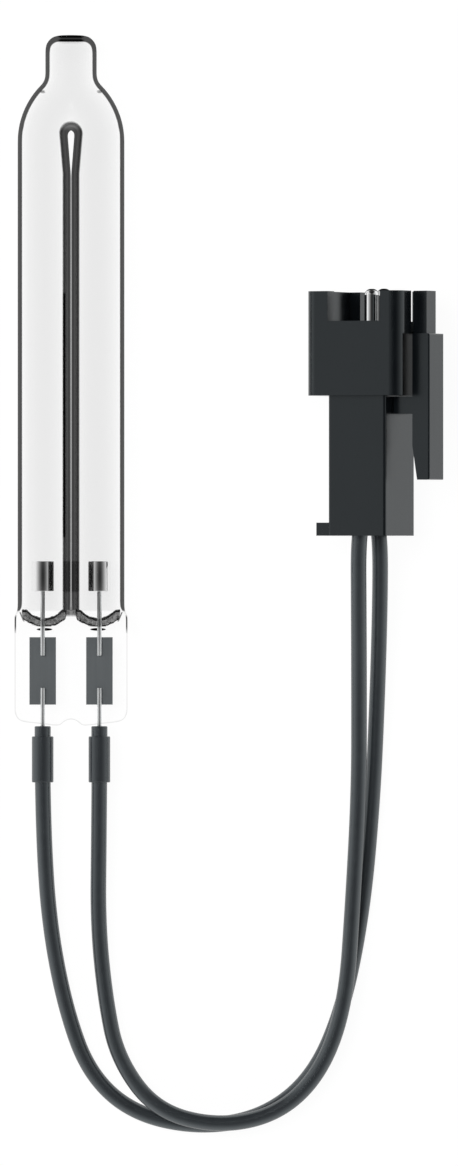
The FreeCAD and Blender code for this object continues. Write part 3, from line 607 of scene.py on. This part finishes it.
end_line = add(tree, "ShaderNodeMapRange", {0: end_line.outputs[0], 1: 0.00011, 2: 0.00004, 3: 1.0, 4: 4.4})
# Painted shade for the tip's end, blackest in its middle.
painted_tip_shade = add(tree, "ShaderNodeMath", {0: blackest.outputs[0], 1: end_line.outputs[0]},
                  operation="MULTIPLY")
painted_tip_shade = add(tree, "ShaderNodeMath", {0: painted_tip_shade.outputs[0], 1: 0.28}, operation="MINIMUM")
body = add(tree, "ShaderNodeMix", {0: melted.outputs[0], 2: body.outputs[0], 3: painted_tip_shade.outputs[0]})
shade = add(tree, "ShaderNodeMapRange", {0: tip_level.outputs[0], 1: 0.0347, 2: 0.0349, 3: 1.0, 4: 0.88})
shade_side = add(tree, "ShaderNodeMapRange", {0: aside.outputs[0], 1: 0.0014, 2: 0.0006, 3: 0.0, 4: 1.0})
shade = add(tree, "ShaderNodeMix", {0: shade_side.outputs[0], 2: 1.0, 3: shade.outputs[0]})
body = add(tree, "ShaderNodeMath", {0: body.outputs[0], 1: shade.outputs[0]}, operation="MULTIPLY")

# Under each bore, below its pinched floor, painted shade draws a thin dark lens behind the lead.
lens = oval(tree, aside.outputs[0], spot.outputs["Y"], (0.00255, -0.02099), (0.00072, 0.00013))
lens = add(tree, "ShaderNodeMapRange", {0: lens.outputs["Value"], 1: 0.95, 2: 1.1, 3: 0.002, 4: 1.0})
lens = add(tree, "ShaderNodeMix", {0: behind.outputs[0], 2: 1.0, 3: lens.outputs[0]})
body = add(tree, "ShaderNodeMath", {0: body.outputs[0], 1: lens.outputs[0]}, operation="MULTIPLY")
show_through(tree, body)

# The bore's skin is clear down to its floor. There the softened glass has flowed and wrinkled, which
# gives a mottle, and painted shade draws a grey crescent between two dark lines. Most of it is on the
# wall behind the lead.
inner_skin, tree, place, spot, aside, behind = quartz_skin("fused_quartz_bore")
off_axis = apart(tree, aside.outputs[0], LEG_X / 1000)
square = add(tree, "ShaderNodeMath", {0: off_axis.outputs[0], 1: off_axis.outputs[0]}, operation="MULTIPLY")
bow = add(tree, "ShaderNodeMath", {0: square.outputs[0], 1: 277.0, 2: -0.02004}, operation="MULTIPLY_ADD")
bow = add(tree, "ShaderNodeMath", {0: bow.outputs[0], 1: -0.01922}, operation="MINIMUM")
rise = add(tree, "ShaderNodeMath", {0: spot.outputs["Y"], 1: bow.outputs[0]}, operation="SUBTRACT")
flow = add(tree, "ShaderNodeTexNoise", {"Vector": place.outputs["Object"], "Scale": 2600.0, "Detail": 2.0})
wander = add(tree, "ShaderNodeMapRange", {0: flow.outputs["Fac"], 1: 0.3, 2: 0.7, 3: -0.00006, 4: 0.00006})
rise = add(tree, "ShaderNodeMath", {0: rise.outputs[0], 1: wander.outputs[0]}, operation="ADD")
closing = add(tree, "ShaderNodeMapRange", {0: rise.outputs[0], 1: 0.00006, 2: 0.0})
upper_line = add(tree, "ShaderNodeMath", {0: rise.outputs[0]}, operation="ABSOLUTE")
upper_line = add(tree, "ShaderNodeMapRange", {
    0: upper_line.outputs[0], 1: 0.0001, 2: 0.00015, 3: 0.2, 4: 1.0,
})
dip = add(tree, "ShaderNodeMath", {0: square.outputs[0], 1: 184.0, 2: -0.02074}, operation="MULTIPLY_ADD")
lift = add(tree, "ShaderNodeMath", {0: spot.outputs["Y"], 1: dip.outputs[0]}, operation="SUBTRACT")
lift = add(tree, "ShaderNodeMath", {0: lift.outputs[0], 1: wander.outputs[0]}, operation="ADD")
above = add(tree, "ShaderNodeMapRange", {0: lift.outputs[0], 1: -0.00005, 2: 0.00001})
closing = add(tree, "ShaderNodeMath", {0: closing.outputs[0], 1: above.outputs[0]}, operation="MULTIPLY")
lower_line = apart(tree, lift.outputs[0], 0.00005)
lower_line = add(tree, "ShaderNodeMapRange", {
    0: lower_line.outputs[0], 1: 0.00005, 2: 0.0001, 3: 0.3, 4: 1.0,
})
mottle = add(tree, "ShaderNodeMapRange", {0: flow.outputs["Fac"], 1: 0.35, 2: 0.65, 3: 0.32, 4: 0.62})
body = add(tree, "ShaderNodeMix", {0: closing.outputs[0], 2: 0.998, 3: mottle.outputs[0]})
for factor in (upper_line, lower_line):
    body = add(tree, "ShaderNodeMath", {0: body.outputs[0], 1: factor.outputs[0]}, operation="MULTIPLY")
body = add(tree, "ShaderNodeMath", {0: body.outputs[0], 1: 1.6}, operation="POWER")
before = add(tree, "ShaderNodeMix", {0: closing.outputs[0], 2: 0.998, 3: 0.58})
body = add(tree, "ShaderNodeMix", {0: behind.outputs[0], 2: before.outputs[0], 3: body.outputs[0]})
show_through(tree, body)

for skin, material in ((glass, outer_skin), (inside, inner_skin)):
    skin.data.materials.clear()
    skin.data.materials.append(material)
alone(glass, inside)
bpy.ops.object.join()
to_metres(glass, "quartz_glass", ["quartz_envelope"])

# Electrodes: cups drawn from bright nickel sheet, open towards the discharge, each welded by its
# base to its lead. Drawing leaves fine lines round the cup and a small radius at the base.
LEAD_X = 2.7
CUP_RADIUS = 1.08
CUP_BASE = -17.35
CUP_RIM = -14.5
CUP_DEPTH = 2.53
NICKEL_SHEET = 0.16
SMOOTH_UNDER = math.radians(35)


def soften(piece, width, segments):
    # Rounds the sharp edges, and shades the rest smooth.
    modify(piece, "BEVEL", width=width, segments=segments, limit_method="ANGLE", angle_limit=SHARP)
    bpy.ops.object.shade_smooth_by_angle(angle=SMOOTH_UNDER)


nickel = bpy.data.materials.new("bright_drawn_nickel")
nickel.use_nodes = True
tree = nickel.node_tree
metal = tree.nodes["Principled BSDF"]
metal.inputs["Metallic"].default_value = 0.98
metal.inputs["Base Color"].default_value = colour("#FAFAFA")
place = add(tree, "ShaderNodeTexCoord")
squeeze = add(tree, "ShaderNodeMapping", {"Vector": place.outputs["Object"], "Scale": (0.05, 1.0, 0.05)})
lines = add(tree, "ShaderNodeTexNoise", {"Vector": squeeze.outputs[0], "Scale": 9000.0, "Detail": 2.0})
relief = add(tree, "ShaderNodeBump", {"Strength": 0.03, "Distance": 0.00001, "Height": lines.outputs["Fac"]})
gloss = add(tree, "ShaderNodeMapRange", {0: lines.outputs["Fac"], 1: 0.3, 2: 0.7, 3: 0.05, 4: 0.1})
tree.links.new(gloss.outputs[0], metal.inputs["Roughness"])
tree.links.new(relief.outputs[0], metal.inputs["Normal"])
for side, word in ((-1, "left"), (1, "right")):
    cup = rod(CUP_RADIUS, CUP_BASE, CUP_RIM, side * LEAD_X)
    pick(cup, "FACE", lambda at: at.y > CUP_RIM - 0.001)
    bpy.ops.mesh.inset(thickness=NICKEL_SHEET)
    bpy.ops.mesh.extrude_region_move(TRANSFORM_OT_translate={"value": (0, -CUP_DEPTH, 0)})
    bpy.ops.object.mode_set(mode="OBJECT")
    soften(cup, 0.05, 3)
    cup.data.materials.append(nickel)
    to_metres(cup, f"electrode_cup_{word}", [f"electrode_{word}"])

# Leads: molybdenum wire, 0.43 mm thick. The inner lead runs from the cup to the foil and the outer
# one from the foil out of the seal; their ends are cropped and slightly rounded.
LEAD_RADIUS = 0.215
moly_wire = bpy.data.materials.new("drawn_molybdenum_wire")
moly_wire.use_nodes = True
tree = moly_wire.node_tree
metal = tree.nodes["Principled BSDF"]
metal.inputs["Metallic"].default_value = 1.0
metal.inputs["Base Color"].default_value = colour("#F4F6F6")
place = add(tree, "ShaderNodeTexCoord")
squeeze = add(tree, "ShaderNodeMapping", {"Vector": place.outputs["Object"], "Scale": (1.0, 0.06, 1.0)})
lines = add(tree, "ShaderNodeTexNoise", {"Vector": squeeze.outputs[0], "Scale": 12000.0, "Detail": 2.0})
gloss = add(tree, "ShaderNodeMapRange", {0: lines.outputs["Fac"], 1: 0.3, 2: 0.7, 3: 0.42, 4: 0.54})
tree.links.new(gloss.outputs[0], metal.inputs["Roughness"])
for side, word in ((-1, "left"), (1, "right")):
    for name, low, high in ((f"inner_lead_{word}", -23.48, CUP_BASE), (f"outer_lead_{word}", -32.55, -26.55)):
        wire = rod(LEAD_RADIUS, low, high, side * LEAD_X, sides=32)
        soften(wire, 0.04, 2)
        wire.data.materials.append(moly_wire)
        to_metres(wire, f"{name}_wire", [name])

# Sealing foils: molybdenum rolled thin and etched grey, cut square. The glass has wetted them, so
# they look matt; faint roll marks run along the strip.
foil = bpy.data.materials.new("rolled_molybdenum_foil")
foil.use_nodes = True
tree = foil.node_tree
metal = tree.nodes["Principled BSDF"]
metal.inputs["Roughness"].default_value = 0.62
place = add(tree, "ShaderNodeTexCoord")
squeeze = add(tree, "ShaderNodeMapping", {"Vector": place.outputs["Object"], "Scale": (1.0, 0.04, 1.0)})
marks = add(tree, "ShaderNodeTexNoise", {"Vector": squeeze.outputs[0], "Scale": 5000.0, "Detail": 2.0})
tint = add(tree, "ShaderNodeMix", {0: marks.outputs["Fac"], 6: colour("#5A5E60"), 7: colour("#636769")},
           data_type="RGBA")
tree.links.new(tint.outputs[2], metal.inputs["Base Color"])


def dress(material, *names):
    # CAD nodes that stay as they are get their finish.
    for name in names:
        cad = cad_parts[name]
        cad.data.materials.clear()
        cad.data.materials.append(material)


dress(foil, "sealing_foil_left", "sealing_foil_right")

# Sleeves: a thin liner over the joint and a heat-shrink tube over its lower part. The outer tube
# has drawn in a little at both rims. Polyolefin, satin, with a skin like fine orange peel.
polyolefin = bpy.data.materials.new("shrunk_polyolefin")
polyolefin.use_nodes = True
tree = polyolefin.node_tree
skin = tree.nodes["Principled BSDF"]
skin.inputs["Specular Tint"].default_value = colour("#F0FBFF")
place = add(tree, "ShaderNodeTexCoord")
peel = add(tree, "ShaderNodeTexNoise", {"Vector": place.outputs["Object"], "Scale": 2200.0, "Detail": 2.0})
tint = add(tree, "ShaderNodeMix", {0: peel.outputs["Fac"], 6: colour("#2D3033"), 7: colour("#303336")},
           data_type="RGBA")
relief = add(tree, "ShaderNodeBump", {"Strength": 0.01, "Distance": 0.00004, "Height": peel.outputs["Fac"]})
tree.links.new(tint.outputs[2], skin.inputs["Base Color"])
gloss = add(tree, "ShaderNodeMapRange", {0: peel.outputs["Fac"], 1: 0.3, 2: 0.7, 3: 0.24, 4: 0.27})
dull_edge(tree, skin)
tree.links.new(gloss.outputs[0], skin.inputs["Roughness"])
tree.links.new(relief.outputs[0], skin.inputs["Normal"])
for side, word in ((-1, "left"), (1, "right")):
    for name, low, high, radius, bore in (("inner_sleeve", -34.35, -30.2, 0.77, 0.485),
                                          ("shrink_sleeve", -35.55, -31.17, 1.03, 0.77)):
        sleeve = rod(radius, low, high, side * LEAD_X)
        for end in (low, high):
            pick(sleeve, "FACE", lambda at: abs(at.y - end) < 0.001)
            bpy.ops.mesh.inset(thickness=radius - bore)
            bpy.ops.mesh.delete(type="FACE")
        pick(sleeve, "VERT", lambda at: math.hypot(at.x - side * LEAD_X, at.z - AXIS_Z) < bore + 0.01)
        bpy.ops.mesh.bridge_edge_loops()
        bpy.ops.mesh.select_all(action="SELECT")
        bpy.ops.mesh.normals_make_consistent(inside=False)
        bpy.ops.object.mode_set(mode="OBJECT")
        soften(sleeve, 0.1, 4)
        sleeve.data.materials.append(polyolefin)
        to_metres(sleeve, f"{name}_{word}_tube", [f"{name}_{word}"])

# Crimp barrels and contacts: stamped and rolled from bronze strip, with bright tin plate that
# mirrors little at its very edges. A contact is a round pin with a domed end, a boxed body that
# latches in its chamber, and a crimp. Above a plane just under the end, its top is dark.
tin = bpy.data.materials.new("tin_plated_bronze")
tin.use_nodes = True
tree = tin.node_tree
metal = tree.nodes["Principled BSDF"]
metal.inputs["Metallic"].default_value = 1.0
metal.inputs["Specular Tint"].default_value = colour("#000000")
place = add(tree, "ShaderNodeTexCoord")
bloom = add(tree, "ShaderNodeTexNoise", {"Vector": place.outputs["Object"], "Scale": 2500.0, "Detail": 3.0})
gloss = add(tree, "ShaderNodeMapRange", {0: bloom.outputs["Fac"], 1: 0.3, 2: 0.7, 3: 0.03, 4: 0.08})
tree.links.new(gloss.outputs[0], metal.inputs["Roughness"])
spot = add(tree, "ShaderNodeSeparateXYZ", {"Vector": place.outputs["Object"]})
dark_top = add(tree, "ShaderNodeMapRange", {0: spot.outputs["Y"], 1: 0.01113, 2: 0.01116})
plate = add(tree, "ShaderNodeMix", {0: dark_top.outputs[0], 6: colour("#F2F3F3"), 7: colour("#1C1C1C")},
            data_type="RGBA")
tree.links.new(plate.outputs[2], metal.inputs["Base Color"])
dress(tin, "crimp_barrel_left", "crimp_barrel_right")

# A contact is made with X across the plug, Y towards its rim and Z out of its front, then rolled as
# the plug lies, and seated at the corner of its rim.
PLUG_CORNER = (22.17, 11.11, 6.68)
PLUG_ROLL = math.radians(28.4)
PIN_SIDE = 5.8
BOX_SIDE = 5.5
CRIMP_SIDE = 4.88
PIN_RADIUS = 0.7
for count, deep, end in ((1, 2.75, 0.22), (2, 5.25, 0.29)):
    pin = rod(PIN_RADIUS, -9.0, end, PIN_SIDE, -deep, sides=64)
    pick(pin, "FACE", lambda at: at.y > end - 0.001)
    bpy.ops.mesh.bevel(offset=0.6, segments=12, profile=0.5)
    bpy.ops.object.mode_set(mode="OBJECT")
    bpy.ops.object.select_all(action="DESELECT")
    bpy.ops.mesh.primitive_cube_add(size=1, location=(BOX_SIDE, -11.0, -deep), scale=(2.6, 5.0, 1.8))
    box = bpy.context.object
    settle(box)
    modify(box, "BEVEL", width=0.12, segments=2)
    crimp = rod(PIN_RADIUS, -19.0, -13.0, CRIMP_SIDE, -deep, sides=48)
    for part in (box, crimp):
        modify(pin, "BOOLEAN", object=part, operation="UNION", solver="EXACT")
        bpy.data.objects.remove(part)
    alone(pin)
    bpy.ops.object.shade_smooth_by_angle(angle=SMOOTH_UNDER)
    pin.data.materials.clear()
    pin.data.materials.append(tin)
    pin.location = PLUG_CORNER
    pin.rotation_euler = (0, -PLUG_ROLL, 0)
    settle(pin)
    to_metres(pin, f"contact_{count}", [f"contact_pin_{count}"])

# Plug: black glass-filled nylon, moulded in a spark-eroded tool, so it has a fine even grain.
nylon = bpy.data.materials.new("moulded_black_nylon")
nylon.use_nodes = True
tree = nylon.node_tree
skin = tree.nodes["Principled BSDF"]
skin.inputs["Specular Tint"].default_value = colour("#F0FBFF")
place = add(tree, "ShaderNodeTexCoord")
grain = add(tree, "ShaderNodeTexNoise", {"Vector": place.outputs["Object"], "Scale": 6000.0, "Detail": 2.0})
cloud = add(tree, "ShaderNodeTexNoise", {"Vector": place.outputs["Object"], "Scale": 350.0, "Detail": 2.0})
tint = add(tree, "ShaderNodeMix", {0: cloud.outputs["Fac"], 6: colour("#0A0D10"), 7: colour("#101316")},
           data_type="RGBA")
relief = add(tree, "ShaderNodeBump", {"Strength": 0.08, "Distance": 0.00002, "Height": grain.outputs["Fac"]})
tree.links.new(tint.outputs[2], skin.inputs["Base Color"])

# Painted shade: the floor of the well behind the lever mirrors less of the room, as if in the lever's shade.
PLUG_RIGHT = (math.cos(PLUG_ROLL), 0.0, math.sin(PLUG_ROLL))
WELL_FLOOR = 9.2
faces_right = add(tree, "ShaderNodeVectorMath", {0: place.outputs["Normal"], 1: PLUG_RIGHT},
                  operation="DOT_PRODUCT")
faces_right = add(tree, "ShaderNodeMapRange", {0: faces_right.outputs["Value"], 1: 0.9, 2: 0.97})
right_of = add(tree, "ShaderNodeVectorMath", {0: place.outputs["Object"], 1: PLUG_RIGHT},
               operation="DOT_PRODUCT")
floor_at = (Vector(PLUG_CORNER).dot(PLUG_RIGHT) + WELL_FLOOR) / 1000
off_floor = apart(tree, right_of.outputs["Value"], floor_at)
# Painted shade on the well floor: its mirror is turned down there.
painted_well_shade = add(tree, "ShaderNodeMapRange", {0: off_floor.outputs[0], 1: 0.0002, 2: 0.0001})
painted_well_shade = add(tree, "ShaderNodeMath", {0: painted_well_shade.outputs[0], 1: faces_right.outputs[0]}, operation="MULTIPLY")
painted_well_shade = add(tree, "ShaderNodeMapRange", {0: painted_well_shade.outputs[0], 3: 0.6, 4: 0.12})
tree.links.new(painted_well_shade.outputs[0], skin.inputs["Specular IOR Level"])
gloss = add(tree, "ShaderNodeMapRange", {0: cloud.outputs["Fac"], 1: 0.3, 2: 0.7, 3: 0.2, 4: 0.26})
tree.links.new(gloss.outputs[0], skin.inputs["Roughness"])
tree.links.new(relief.outputs[0], skin.inputs["Normal"])
dress(nylon, "connector_housing", "latch_lever")
